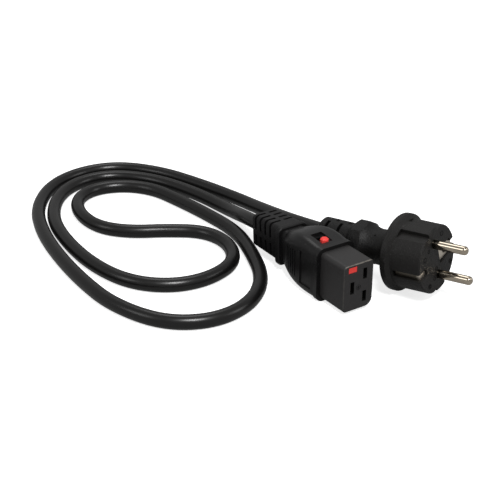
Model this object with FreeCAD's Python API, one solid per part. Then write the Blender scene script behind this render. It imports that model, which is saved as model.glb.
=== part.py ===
"""Locking C19 mains lead: a C19 socket connector with a sliding release, its cord and a round two-pin plug.

Row frame, in millimetres: +Z up, the socket mates towards -Y, and the origin is at the bottom centre of
the connector's own box (socket, hood and strain relief), on the surface that everything lies on.
Places along the connector, and the cord's route, are given as a distance behind its mating face; the plug
is built in a frame of its own, with its face at y = 0, and is then turned and moved to where it lies.
"""
import FreeCAD, Part
import math
import os

V = FreeCAD.Vector

# ---------------------------------------------------------------- driving dimensions: connector
AXIS_Z = 15.3                 # height of the connector's axis over the surface
BLOCK_W = 19.0                # socket block, across
BLOCK_H = 26.5                # socket block, upright
BLOCK_LENGTH = 38.0           # mating face to the block's rear end
BLOCK_CORNER = 2.4            # three of the block's corners
BLOCK_KEY_CORNER = 4.6        # the keyed corner, below the neutral slot
BLOCK_EDGE = 0.5              # break on the mating face's edge
POLE_PITCH = 13.0             # line slot to neutral slot
EARTH_OFFSET = 8.0            # slot row to earth slot
SLOT_W = 2.5
SLOT_H = 6.2
EARTH_SLOT_H = 6.9
FACE_WALL = 2.5               # wall in front of the contact chambers
CHAMBER_W = 4.6
CHAMBER_H = 8.2
RETAINER_T = 2.5              # plate that closes the chambers

CONTACT_T = 0.5               # contact strip
CONTACT_W = 3.6               # outside of the two leaves
CONTACT_H = 6.4
EARTH_CONTACT_H = 7.0
CONTACT_START = 3.4
LEAF_LENGTH = 17.0
LEAF_PINCH = 3.5              # from the leaves' tips to where they pinch the pin
LEAF_FLARE = 8.0              # and to where they stand apart again
TAIL_LENGTH = 4.0
BARREL_LENGTH = 7.0
BARREL_R = 2.0
CORE_R = 1.45                 # insulated core
WIRE_R = 0.85                 # its stripped end
WIRE_STRIP = 5.0              # how much of it the crimp barrel takes
CORE_SPREAD = 1.75            # core centres from the cord's centre

HOOD_FRONT = 19.5             # where the hood starts behind the mating face
COLLAR_LENGTH = 3.0
COLLAR_W = 24.2
COLLAR_H = 30.6
COLLAR_CORNER = 4.6
HOOD_REAR = 54.0
# distance behind the face, width, height, rise of the centre, corner radius
HOOD_SECTIONS = (
    (22.5, 24.0, 29.8, 0.2, 4.6),
    (30.0, 24.8, 30.6, 0.5, 5.0),
    (38.0, 24.6, 30.4, 0.8, 5.4),
    (45.0, 23.0, 28.0, 0.6, 6.0),
    (50.5, 20.2, 24.6, 0.2, 6.2),
    (HOOD_REAR, 18.0, 22.0, 0.0, 6.0),
)
RIB_COUNT = 5
RIB_PITCH = 2.2
RIB_GROOVE = 0.7
RIB_DEPTH = 0.45
RIB_START = 38.5
RIB_H = 15.0
PANEL_START = 24.6
PANEL_LENGTH = 9.6
PANEL_H = 19.0
PANEL_DEPTH = 0.35

TAB_W = 5.0                   # red bar and its front end, across
TAB_H = 2.9
TAB_DROP = 1.4                # wall over the bar's channel
SLIDE_FIT = 0.15              # gap round every sliding piece
RELEASE_TRAVEL = 4.0
BAR_LENGTH = 29.6
STEM_START = 25.8
STEM_LENGTH = 3.2
STEM_W = 2.8
KNOB_X = -1.6
KNOB_W = 4.2
KNOB_LENGTH = 4.2
KNOB_RISE = 2.3               # knob over the floor of its recess
KNOB_BEVEL = 0.7              # round its top
KNOB_CORNER = 1.2             # cut off its four upright corners
RECESS_W = 7.0
RECESS_LENGTH = 10.2
RECESS_START = 25.0
RECESS_DEPTH = 1.1
RECESS_REACH = 8.0            # how high the recess is cleared over its floor
SLOT_MARGIN = 0.3             # knob slot over the stem, all round

LOCK_T = 0.8                  # lock plate
LOCK_START = 12.0
LOCK_RIM = 0.65               # plate round the earth contact
LOCK_NOTCH = 1.0              # its seat in the red bar

SPRING_R = 1.05
SPRING_WIRE = 0.4
SPRING_TURNS = 6
SPRING_SEAT = 0.05

# ---------------------------------------------------------------- driving dimensions: strain relief
NECK_IN_HOOD = 3.5            # how far the neck reaches into the hood
NECK_SHOWN = 3.6              # hood to flange
NECK_W = 15.8
NECK_H = 19.8
NECK_CORNER = 3.4
FLANGE_T = 3.4
FLANGE_W = 19.4
FLANGE_H = 22.6
FLANGE_CORNER = 3.4
FLANGE_EDGE = 0.8
SLEEVE_LENGTH = 23.8
SLEEVE_DROOP = 3.0            # degrees: the soft sleeve sags towards the surface
SLEEVE_RISE = 0.65            # its root over the connector's axis
SLEEVE_FRONT = (16.6, 21.0)
SLEEVE_BACK = (15.8, 19.0)
SLEEVE_CORNER = 2.6
GROOVE_ROWS = 4
GROOVE_PITCH = 4.85
GROOVE_FIRST = 6.4
GROOVE_W = 1.8
GROOVE_DEPTH = 2.1
SPINE_W = 2.2                 # webs left between the grooves, above and below
SIDE_WEB = 3.0                # and at the sides
MOUTH_LENGTH = 7.0            # flared mouth where the cord leaves
MOUTH_FLARE = 0.5
MOULD_FIT = 0.08              # gap between a moulding and what it holds
CORE_GAP = 0.3                # between a core's end and the sheath's

# ---------------------------------------------------------------- driving dimensions: cord
CORD_D = 8.0
SHEATH_IN_SLEEVE = 4.0        # how far behind the flange the sheath ends
SLEEVE_RUN = 33.0             # first straight run, along the sleeve's axis
CORD_GROUND = 0.05            # gap under the cord where it lies
PLUG_RUN = 53.0               # last straight run, along the plug's axis

# ---------------------------------------------------------------- driving dimensions: plug
PLUG_R = 18.3
PLUG_BODY = 17.2              # face to flange
PLUG_X = 42.6
PLUG_AHEAD = 10.76            # plug's face in front of the connector's
PLUG_Z = 23.3
PLUG_YAW = 18.56
PLUG_PITCH = -5.5
PLUG_ROLL = -13.6
PLUG_FLANGE_R = 20.8
PLUG_FLANGE_T = 5.2
FLANGE_BEVEL = 1.7            # its front edge
FLANGE_ROUND = 1.0            # its rear edge
PLUG_REAR = 70.5
PIN_R = 2.4
PIN_LENGTH = 19.0
PIN_TIP = 2.0
PIN_PITCH = 19.0
PIN_ROOT_R = 2.9
PIN_ROOT = 10.0
FACE_T = 3.0
BRIDGE_R = 13.7
BRIDGE_END = 12.0
CAVITY_END = 20.0
CAVITY_TAPER = 31.5
RIDGE_W = 7.4                 # ridges in line with the pins
FLAT_HALF = 16.0              # flats beside the ridges, from the axis
FLAT_END = 16.5
STRAP_T = 0.8                 # earth strap
STRAP_W = 4.0
STRAP_OUT = 16.5              # its outer face from the axis
STRAP_FRONT = 1.2
STRAP_BACK = 15.0
STRAP_REACH = 3.6             # inner end of the leg with the hole
STRAP_SHORT_REACH = 11.0
STRAP_PLATE_H = 7.4           # its widened part round the hole
STRAP_PLATE_OUT = 13.6
STRAP_FIT = 0.12
WINDOW_H = 8.6
SOCKET_X = 10.0               # hole for a fixed earth pin
SOCKET_BORE = 2.5
SOCKET_WALL = 0.6
SOCKET_LENGTH = 12.4
PLUG_SHEATH = 36.0            # where the cord's sheath ends in the plug
# profiles behind the flange: distance behind the face, radius
NECK_PROFILE = ((23.6, 16.2), (25.4, 12.9), (28.0, 10.8), (31.5, 9.85), (35.5, 9.8), (38.8, 10.6))
RING_PROFILE = ((42.1, 12.9), (47.1, 12.9), (51.0, 9.6))
RING_FLATS = 8
RING_FLAT_R = 11.9
TAIL_R = 10.0
TAIL_EDGE = 0.8
TAIL_ROWS = 4
TAIL_FIRST = 52.2
TAIL_PITCH = 4.05
TAIL_SLOT_W = 1.85
TAIL_SLOT_FLOOR = 5.6
TAIL_SLOT_SPAN = 84.0         # degrees of the tail that a slot crosses
TAIL_SLOT_TURN = 38.0         # and where its middle lies, from +X towards +Z
# small blind vents in the neck: distance behind the face, degrees from +X towards +Z
VENTS = ((34.3, 107.0), (34.3, 72.0))
VENT_R = 0.45
VENT_DEPTH = 0.9

# ---------------------------------------------------------------- worked out from the above
droop = math.radians(SLEEVE_DROOP)
neck_start = HOOD_REAR - NECK_IN_HOOD
flange_start = HOOD_REAR + NECK_SHOWN
sleeve_root = flange_start + FLANGE_T
connector_length = (sleeve_root + SLEEVE_LENGTH * math.cos(droop)
                    + SLEEVE_BACK[1] / 2 * math.sin(droop))
FACE_Y = -connector_length / 2
POLE_X = EARTH_OFFSET / 2
BLOCK_TOP = AXIS_Z + BLOCK_H / 2
TAB_TOP = BLOCK_TOP - TAB_DROP
TAB_Z = TAB_TOP - TAB_H / 2
TAB_X = -POLE_X
CORD_BORE = CORD_D / 2 + MOULD_FIT
CORD_LIE = CORD_D / 2 + CORD_GROUND
POLES = {
    "line": (POLE_X, AXIS_Z + POLE_PITCH / 2, SLOT_H, CONTACT_H),
    "neutral": (POLE_X, AXIS_Z - POLE_PITCH / 2, SLOT_H, CONTACT_H),
    "earth": (-POLE_X, AXIS_Z, EARTH_SLOT_H, EARTH_CONTACT_H),
}
# where each core lies round the cord's centre, as an angle from +X towards +Z
CORE_ANGLE = {"line": 60.0, "neutral": -60.0, "earth": 180.0}

# The cord's route over the surface, from the connector round its loops to the plug, as X and distance
# behind the connector's face
CORD_ROUTE = (
    (9, 132.4), (5, 166.4), (-6.5, 199.4), (-26.5, 220.9), (-49.5, 222.4), (-70, 207.9),
    (-85.5, 180.4), (-92, 148.4), (-92.7, 114.4), (-85.8, 87), (-69.3, 70.4), (-48, 66.9),
    (-27, 75.6), (-17, 96.4), (-20.5, 116.9), (-38, 129.9), (-56.5, 140.4), (-68.5, 156.4),
    (-70.5, 178.4), (-63.5, 197.9), (-47, 206.9), (-27.5, 203.9), (-14, 188.4), (-11, 165.4),
    (-8, 138.4), (-8, 108.4), (-12.5, 80.4), (-23, 51.4), (-44, 32.4), (-69, 27.4), (-92, 39.4),
    (-105, 69.4), (-106, 103.4), (-103, 137.4), (-98, 170.4), (-88.5, 200.9), (-67.5, 226.4),
    (-42, 236.9), (-17, 231.9), (2, 208.4), (13, 177.4), (22.5, 144.4),
)
CORD_RISE = (21.0, 117.4, 9.0)     # last point before the plug, where the cord has left the surface


# ---------------------------------------------------------------- helpers
def save(shape, name):
    """Write one sub-part."""
    shape.removeSplitter().exportStep("parts/" + name + ".step")


def block(x0, x1, s0, s1, z0, z1, origin=0.0):
    """A box between two X, two distances along Y from origin, and two Z."""
    return Part.makeBox(x1 - x0, s1 - s0, z1 - z0, V(x0, origin + s0, z0))


def rod(radius, x, z, s0, s1, origin=0.0):
    """A cylinder along Y."""
    return Part.makeCylinder(radius, s1 - s0, V(x, origin + s0, z), V(0, 1, 0))


def outline(width, height, corners, y, x=0.0, z=AXIS_Z):
    """A rounded rectangle across Y; corners run from +X +Z clockwise seen towards +Y."""
    signs = ((1, 1), (1, -1), (-1, -1), (-1, 1))
    turn = math.sqrt(0.5)
    points = []
    for (sx, sz), r in zip(signs, corners):
        cx = x + sx * (width / 2 - r)
        cz = z + sz * (height / 2 - r)
        side = V(cx + sx * r, y, cz)
        cap = V(cx, y, cz + sz * r)
        mid = V(cx + sx * r * turn, y, cz + sz * r * turn)
        points.append((cap, mid, side) if sx * sz > 0 else (side, mid, cap))
    edges = []
    for i, (start, mid, end) in enumerate(points):
        edges.append(Part.Arc(start, mid, end).toShape())
        edges.append(Part.LineSegment(end, points[(i + 1) % 4][0]).toShape())
    return Part.Wire(edges)


def rectangle(width, height, y):
    """A sharp rectangle across Y, centred on the Y axis."""
    x = width / 2
    z = height / 2
    points = [V(x, y, z), V(x, y, -z), V(-x, y, -z), V(-x, y, z)]
    return Part.makePolygon(points + [points[0]])


def bar(width, height, corners, s0, s1, x=0.0, z=AXIS_Z, origin=0.0):
    """A rounded rectangle carried along Y."""
    if not isinstance(corners, tuple):
        corners = (corners,) * 4
    face = Part.Face(outline(width, height, corners, origin + s0, x, z))
    return face.extrude(V(0, s1 - s0, 0))


def skin(sections, origin=0.0):
    """A smooth body through rounded rectangles: distance, width, height, rise, corner."""
    wires = [outline(w, h, (r,) * 4, origin + s, 0.0, AXIS_Z + rise) for s, w, h, rise, r in sections]
    return Part.makeLoft(wires, True, False)


def revolve(*runs):
    """A solid of revolution about Y from runs of (distance, radius) points, closed on the axis.

    Runs follow on from one another; a list is straight from point to point, a tuple is one smooth curve.
    """
    edges = []
    for run in runs:
        points = [V(r, s, 0) for s, r in run]
        if isinstance(run, tuple):
            curve = Part.BSplineCurve()
            curve.interpolate(points)
            edges.append(curve.toShape())
        else:
            edges += [Part.LineSegment(a, b).toShape() for a, b in zip(points, points[1:])]
    first = V(runs[0][0][1], runs[0][0][0], 0)
    last = V(runs[-1][-1][1], runs[-1][-1][0], 0)
    edges.append(Part.LineSegment(last, V(0, last.y, 0)).toShape())
    edges.append(Part.LineSegment(V(0, last.y, 0), V(0, first.y, 0)).toShape())
    edges.append(Part.LineSegment(V(0, first.y, 0), first).toShape())
    return Part.Face(Part.Wire(edges)).revolve(V(0, 0, 0), V(0, 1, 0), 360)


def route_wire(points, radii=None):
    """Straight runs joined by tangent arcs, each as large as its two runs allow."""
    edges = []
    here = points[0]
    for before, corner, after in zip(points, points[1:], points[2:]):
        back = (before - corner).normalize()
        on = (after - corner).normalize()
        reach = 0.45 * min((before - corner).Length, (after - corner).Length)
        half_turn = (math.pi - back.getAngle(on)) / 2
        radius = reach / math.tan(half_turn)
        middle = corner + (back + on).normalize() * (math.hypot(radius, reach) - radius)
        edges.append(Part.LineSegment(here, corner + back * reach).toShape())
        edges.append(Part.Arc(corner + back * reach, middle, corner + on * reach).toShape())
        here = corner + on * reach
        if radii is not None:
            radii.append(radius)
    edges.append(Part.LineSegment(here, points[-1]).toShape())
    return Part.Wire(edges)


def tube(points, radius, radii=None):
    """A round solid along a route."""
    path = route_wire(points, radii)
    ring = Part.Wire(Part.Circle(points[0], points[1] - points[0], radius).toShape())
    return path.makePipeShell([ring], True, False)


def sleeve_place(s, x=0.0, z=0.0):
    """A point in the sagging sleeve: distance behind its root, and offsets across and up."""
    return V(x, FACE_Y + sleeve_root + s * math.cos(droop) + z * math.sin(droop),
             AXIS_Z + SLEEVE_RISE - s * math.sin(droop) + z * math.cos(droop))


def plug_placement():
    """Turn the plug's own frame to where the plug lies."""
    yaw = FreeCAD.Rotation(V(0, 0, 1), PLUG_YAW)
    pitch = FreeCAD.Rotation(V(1, 0, 0), PLUG_PITCH)
    roll = FreeCAD.Rotation(V(0, 1, 0), PLUG_ROLL)
    return FreeCAD.Placement(V(PLUG_X, FACE_Y - PLUG_AHEAD, PLUG_Z), yaw * pitch * roll)


def lay_plug_piece(shape, name):
    """Move a piece from the plug's frame to its place and write it."""
    shape = shape.removeSplitter()
    shape.Placement = plug_placement().multiply(shape.Placement)
    shape.exportStep("parts/" + name + ".step")
    return shape


# ---------------------------------------------------------------- connector: socket block and contacts
def socket_block():
    """The grey front moulding: slots, contact chambers, and the channel of the release bar."""
    corners = (BLOCK_CORNER, BLOCK_KEY_CORNER, BLOCK_CORNER, BLOCK_CORNER)
    body = bar(BLOCK_W, BLOCK_H, corners, 0, BLOCK_LENGTH, origin=FACE_Y)
    rim = [e for e in body.Edges if abs(e.BoundBox.YMax - FACE_Y) < 1e-6]
    body = body.makeChamfer(BLOCK_EDGE, rim)
    for x, z, slot_h, _ in POLES.values():
        body = body.cut(block(x - SLOT_W / 2, x + SLOT_W / 2, -1, FACE_WALL + 1,
                              z - slot_h / 2, z + slot_h / 2, FACE_Y))
        body = body.cut(block(x - CHAMBER_W / 2, x + CHAMBER_W / 2, FACE_WALL, BLOCK_LENGTH + 1,
                              z - CHAMBER_H / 2, z + CHAMBER_H / 2, FACE_Y))
    channel_w = TAB_W + 2 * SLIDE_FIT
    channel = block(TAB_X - channel_w / 2, TAB_X + channel_w / 2, -1, BLOCK_LENGTH + 1,
                    TAB_TOP - TAB_H - SLIDE_FIT, TAB_TOP + SLIDE_FIT, FACE_Y)
    gate = block(KNOB_X - STEM_W / 2 - SLIDE_FIT, KNOB_X + STEM_W / 2 + SLIDE_FIT,
                 STEM_START - SLOT_MARGIN, BLOCK_LENGTH + 1, TAB_TOP - SLIDE_FIT, BLOCK_TOP + 1, FACE_Y)
    pocket_w = CONTACT_W + 2 * SLIDE_FIT + 2 * LOCK_RIM + 2 * SLIDE_FIT
    pocket_low = AXIS_Z - EARTH_CONTACT_H / 2 - SLIDE_FIT - LOCK_RIM - SLIDE_FIT
    pocket = block(-POLE_X - pocket_w / 2, -POLE_X + pocket_w / 2,
                   LOCK_START - SLIDE_FIT, LOCK_START + LOCK_T + RELEASE_TRAVEL + SLIDE_FIT,
                   pocket_low, TAB_TOP, FACE_Y)
    return body.cut(channel).cut(gate).cut(pocket)


def contact(pole):
    """A folded strip: two sprung leaves that pinch the pin, a tail, and a crimp barrel."""
    x, z, _, height = POLES[pole]
    tip = FACE_Y + CONTACT_START
    root = tip + LEAF_LENGTH
    half = CONTACT_W / 2
    waist = half - 2 * CONTACT_T + 0.1
    points = []
    for side in (1, -1):
        outer = [(half, root), (half, tip + LEAF_FLARE), (waist + CONTACT_T, tip + LEAF_PINCH), (half, tip)]
        inner = [(half - CONTACT_T, tip), (waist, tip + LEAF_PINCH), (half - CONTACT_T, tip + LEAF_FLARE),
                 (half - CONTACT_T, root - CONTACT_T)]
        line = [V(x + side * a, b, z - height / 2) for a, b in outer + inner]
        points += line if side > 0 else line[::-1]
    strip = Part.Face(Part.makePolygon(points + [points[0]])).extrude(V(0, 0, height))
    tail_end = CONTACT_START + LEAF_LENGTH + TAIL_LENGTH
    tail = block(x - CONTACT_T / 2, x + CONTACT_T / 2, CONTACT_START + LEAF_LENGTH - CONTACT_T / 2,
                 tail_end + 1, z - BARREL_R + 0.2, z + BARREL_R - 0.2, FACE_Y)
    barrel = rod(BARREL_R, x, z, tail_end, tail_end + BARREL_LENGTH, FACE_Y)
    bore = rod(WIRE_R + MOULD_FIT, x, z, tail_end + 1, tail_end + BARREL_LENGTH + 1, FACE_Y)
    return strip.fuse(tail).fuse(barrel).cut(bore)


def core(pole):
    """An insulated core from its crimp barrel to the end of the cord's sheath."""
    x, z, _, _ = POLES[pole]
    barrel_end = CONTACT_START + LEAF_LENGTH + TAIL_LENGTH + BARREL_LENGTH
    angle = math.radians(CORE_ANGLE[pole])
    across = CORE_SPREAD * math.cos(angle)
    up = CORE_SPREAD * math.sin(angle)
    points = [
        V(x, FACE_Y + barrel_end + MOULD_FIT, z),
        V(x, FACE_Y + BLOCK_LENGTH + RETAINER_T + 5.0, z),
        V(across, FACE_Y + flange_start - 1.9, AXIS_Z + SLEEVE_RISE + up),
        sleeve_place(SHEATH_IN_SLEEVE - CORE_GAP, across, up),
    ]
    wire = rod(WIRE_R, x, z, barrel_end - WIRE_STRIP, barrel_end + 0.5, FACE_Y)
    return tube(points, CORE_R).fuse(wire)


def contact_retainer():
    """The plate that closes the chambers and lets the cores out."""
    gap = MOULD_FIT
    corners = (BLOCK_CORNER, BLOCK_KEY_CORNER, BLOCK_CORNER, BLOCK_CORNER)
    plate = bar(BLOCK_W, BLOCK_H, corners, BLOCK_LENGTH, BLOCK_LENGTH + RETAINER_T, origin=FACE_Y)
    for x, z, _, height in POLES.values():
        key = block(x - CHAMBER_W / 2 + gap, x + CHAMBER_W / 2 - gap, BLOCK_LENGTH - 2, BLOCK_LENGTH,
                    z - CHAMBER_H / 2 + gap, z + CHAMBER_H / 2 - gap, FACE_Y)
        plate = plate.fuse(key)
    for x, z, _, _ in POLES.values():
        plate = plate.cut(rod(CORE_R + gap, x, z, BLOCK_LENGTH - 3, BLOCK_LENGTH + RETAINER_T + 1, FACE_Y))
    return plate


# ---------------------------------------------------------------- connector: lock
def release_slider():
    """The red piece: a bar whose front end shows in the mating face, a stem and a bevelled knob."""
    shaft = block(TAB_X - TAB_W / 2, TAB_X + TAB_W / 2, 0, BAR_LENGTH, TAB_TOP - TAB_H, TAB_TOP, FACE_Y)
    seat = block(TAB_X - TAB_W / 2 - 1, TAB_X + TAB_W / 2 + 1, LOCK_START, LOCK_START + LOCK_T,
                 TAB_TOP - TAB_H - 1, TAB_TOP - TAB_H + LOCK_NOTCH, FACE_Y)
    knob_floor = recess_floor() + SLIDE_FIT
    stem = block(KNOB_X - STEM_W / 2, KNOB_X + STEM_W / 2, STEM_START, STEM_START + STEM_LENGTH,
                 TAB_TOP, knob_floor + 0.5, FACE_Y)
    knob_start = STEM_START + (STEM_LENGTH - KNOB_LENGTH) / 2
    knob = block(KNOB_X - KNOB_W / 2, KNOB_X + KNOB_W / 2, knob_start, knob_start + KNOB_LENGTH,
                 knob_floor, knob_floor + KNOB_RISE, FACE_Y)
    upright = [e for e in knob.Edges if e.BoundBox.ZLength > KNOB_RISE - 0.01]
    knob = knob.makeChamfer(KNOB_CORNER, upright)
    top = [e for e in knob.Edges if e.BoundBox.ZMin > knob_floor + KNOB_RISE - 0.01]
    knob = knob.makeChamfer(KNOB_BEVEL, top)
    return shaft.cut(seat).fuse(stem).fuse(knob)


def lock_plate():
    """A hardened plate in the red bar, with a window that runs over the earth contact."""
    inner_w = CONTACT_W + 2 * SLIDE_FIT
    inner_h = EARTH_CONTACT_H + 2 * SLIDE_FIT
    outer_w = inner_w + 2 * LOCK_RIM
    low = AXIS_Z - inner_h / 2 - LOCK_RIM
    plate = block(-POLE_X - outer_w / 2, -POLE_X + outer_w / 2, LOCK_START, LOCK_START + LOCK_T,
                  low, TAB_TOP - TAB_H + LOCK_NOTCH, FACE_Y)
    window = block(-POLE_X - inner_w / 2, -POLE_X + inner_w / 2, LOCK_START - 1, LOCK_START + LOCK_T + 1,
                   AXIS_Z - inner_h / 2, AXIS_Z + inner_h / 2, FACE_Y)
    return plate.cut(window)


def return_spring():
    """A coil spring of square wire between the red bar and the retainer."""
    start = FACE_Y + BAR_LENGTH + SPRING_WIRE / 2 + SPRING_SEAT
    length = BLOCK_LENGTH - BAR_LENGTH - SPRING_WIRE - 2 * SPRING_SEAT
    helix = Part.makeHelix(length / SPRING_TURNS, length, SPRING_R)
    half = SPRING_WIRE / 2
    corners = [V(SPRING_R - half, 0, -half), V(SPRING_R + half, 0, -half),
               V(SPRING_R + half, 0, half), V(SPRING_R - half, 0, half)]
    section = Part.makePolygon(corners + [corners[0]])
    coil = Part.Wire(helix).makePipeShell([section], True, True)
    coil.rotate(V(0, 0, 0), V(1, 0, 0), -90)
    coil.translate(V(TAB_X, start, TAB_Z))
    return coil


# ---------------------------------------------------------------- connector: hood
def hood_size(s):
    """Width, height and rise of the hood at a distance behind the face, between its sections."""
    for (s0, w0, h0, c0, _), (s1, w1, h1, c1, _) in zip(HOOD_SECTIONS, HOOD_SECTIONS[1:]):
        if s <= s1:
            t = (s - s0) / (s1 - s0)
            return w0 + (w1 - w0) * t, h0 + (h1 - h0) * t, c0 + (c1 - c0) * t
    return HOOD_SECTIONS[-1][1:4]


def recess_floor():
    """Height of the flat that the knob slides over."""
    _, height, rise = hood_size(RECESS_START)
    return AXIS_Z + rise + height / 2 - RECESS_DEPTH


def hood():
    """The hard cover: collar, domed shell, knob recess, side ribs and side panels."""
    shell = skin(HOOD_SECTIONS, FACE_Y)
    collar = bar(COLLAR_W, COLLAR_H, COLLAR_CORNER, HOOD_FRONT, HOOD_FRONT + COLLAR_LENGTH, origin=FACE_Y)
    shell = shell.fuse(collar)
    gap = MOULD_FIT
    pocket_corners = (BLOCK_CORNER + gap, BLOCK_KEY_CORNER + gap, BLOCK_CORNER + gap, BLOCK_CORNER + gap)
    shell = shell.cut(bar(BLOCK_W + 2 * gap, BLOCK_H + 2 * gap, pocket_corners, HOOD_FRONT - 1,
                          BLOCK_LENGTH + RETAINER_T + gap, origin=FACE_Y))
    room_w = NECK_W + 2 * gap
    room_h = NECK_H + 2 * gap
    shell = shell.cut(bar(room_w, room_h, NECK_CORNER, BLOCK_LENGTH, HOOD_REAR + 1, origin=FACE_Y))
    floor = recess_floor()
    recess = bar(RECESS_W, RECESS_REACH, 1.0, RECESS_START, RECESS_START + RECESS_LENGTH,
                 x=KNOB_X, z=floor + RECESS_REACH / 2, origin=FACE_Y)
    stem_path = block(KNOB_X - STEM_W / 2 - SLOT_MARGIN, KNOB_X + STEM_W / 2 + SLOT_MARGIN,
                      STEM_START - SLOT_MARGIN, STEM_START + STEM_LENGTH + RELEASE_TRAVEL + SLOT_MARGIN,
                      BLOCK_TOP - 1, floor + 1, FACE_Y)
    shell = shell.cut(recess).cut(stem_path)
    for side in (1, -1):
        for i in range(RIB_COUNT):
            s = RIB_START + i * RIB_PITCH
            half = hood_size(s)[0] / 2
            groove = block(half - RIB_DEPTH, half + 2, s - RIB_GROOVE / 2, s + RIB_GROOVE / 2,
                           AXIS_Z - RIB_H / 2, AXIS_Z + RIB_H / 2, FACE_Y)
            shell = shell.cut(groove if side > 0 else groove.mirror(V(0, 0, 0), V(1, 0, 0)))
        half = hood_size(PANEL_START)[0] / 2
        panel = block(half - PANEL_DEPTH, half + 2, PANEL_START, PANEL_START + PANEL_LENGTH,
                      AXIS_Z - PANEL_H / 2, AXIS_Z + PANEL_H / 2, FACE_Y)
        shell = shell.cut(panel if side > 0 else panel.mirror(V(0, 0, 0), V(1, 0, 0)))
    return shell


# ---------------------------------------------------------------- connector: strain relief
def sleeve_frame(shape):
    """Turn a piece built along +Y from the origin into the sagging sleeve's place."""
    shape.rotate(V(0, 0, 0), V(1, 0, 0), -SLEEVE_DROOP)
    shape.translate(V(0, FACE_Y + sleeve_root, AXIS_Z + SLEEVE_RISE))
    return shape


def sleeve_grooves():
    """Rows of grooves round the sleeve, left open by four webs."""
    grooves = []
    reach = SLEEVE_FRONT[1]
    for i in range(GROOVE_ROWS):
        s = GROOVE_FIRST + i * GROOVE_PITCH
        t = s / SLEEVE_LENGTH
        w = SLEEVE_FRONT[0] + (SLEEVE_BACK[0] - SLEEVE_FRONT[0]) * t - 2 * GROOVE_DEPTH
        h = SLEEVE_FRONT[1] + (SLEEVE_BACK[1] - SLEEVE_FRONT[1]) * t - 2 * GROOVE_DEPTH
        row = block(-reach, reach, s - GROOVE_W / 2, s + GROOVE_W / 2, -reach, reach)
        row = row.cut(bar(w, h, 1.6, s - GROOVE_W, s + GROOVE_W, z=0.0))
        row = row.cut(block(-SPINE_W / 2, SPINE_W / 2, s - GROOVE_W, s + GROOVE_W, -reach, reach))
        row = row.cut(block(-reach, reach, s - GROOVE_W, s + GROOVE_W, -SIDE_WEB / 2, SIDE_WEB / 2))
        grooves.append(row)
    return grooves


def strain_relief():
    """The soft moulding: neck inside the hood, flange plate, and the grooved sleeve on the cord."""
    neck = bar(NECK_W, NECK_H, NECK_CORNER, neck_start, flange_start + 1, origin=FACE_Y)
    flange = bar(FLANGE_W, FLANGE_H, FLANGE_CORNER, flange_start, sleeve_root, origin=FACE_Y)
    rims = [e for e in flange.Edges if e.BoundBox.YLength < 1e-6]
    flange = flange.makeFillet(FLANGE_EDGE, rims)
    ends = [rectangle(*SLEEVE_FRONT, -2.0), rectangle(*SLEEVE_BACK, SLEEVE_LENGTH)]
    sleeve = Part.makeLoft(ends, True, True)
    long_edges = [e for e in sleeve.Edges if e.BoundBox.YLength > SLEEVE_LENGTH]
    sleeve = sleeve.makeFillet(SLEEVE_CORNER, long_edges)
    for groove in sleeve_grooves():
        sleeve = sleeve.cut(groove)
    sleeve = sleeve_frame(sleeve)
    body = neck.fuse(flange).fuse(sleeve)
    lead = sleeve_root - neck_start - 3
    bore = sleeve_frame(Part.makeCylinder(CORD_BORE, lead + SLEEVE_LENGTH + 2, V(0, -lead, 0), V(0, 1, 0)))
    lead_in = Part.makeLoft([
        outline(NECK_W - 3.0, NECK_H - 2.2, (2.4,) * 4, FACE_Y + neck_start - 0.01),
        outline(2 * CORD_BORE, 2 * CORD_BORE, (CORD_BORE - 0.4,) * 4, FACE_Y + flange_start - 1,
                z=AXIS_Z + SLEEVE_RISE),
    ], True, True)
    mouth = sleeve_frame(Part.makeCone(CORD_BORE, CORD_BORE + MOUTH_FLARE, MOUTH_LENGTH,
                                       V(0, SLEEVE_LENGTH - MOUTH_LENGTH, 0), V(0, 1, 0)))
    return body.cut(bore).cut(lead_in).cut(mouth)


# ---------------------------------------------------------------- cord
def cord_points():
    """The whole route: along the sleeve, over the surface, and up into the plug."""
    place = plug_placement()
    points = [sleeve_place(SHEATH_IN_SLEEVE), sleeve_place(SHEATH_IN_SLEEVE + SLEEVE_RUN)]
    points += [V(x, FACE_Y + s, CORD_LIE) for x, s in CORD_ROUTE]
    points.append(V(CORD_RISE[0], FACE_Y + CORD_RISE[1], CORD_RISE[2]))
    points.append(place.multVec(V(0, PLUG_SHEATH + PLUG_RUN, 0)))
    points.append(place.multVec(V(0, PLUG_SHEATH, 0)))
    return points


def cord_sheath():
    """The cord's outer sheath, as one round solid."""
    radii = []
    points = cord_points()
    cord = tube(points, CORD_D / 2, radii)
    length = route_wire(points).Length
    section = math.pi * (CORD_D / 2) ** 2
    print("cord length %.1f mm, volume / (section x length) %.5f" % (length, cord.Volume / section / length))
    print("cord bend radii: " + " ".join("%.0f" % r for r in radii))
    return cord


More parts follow.
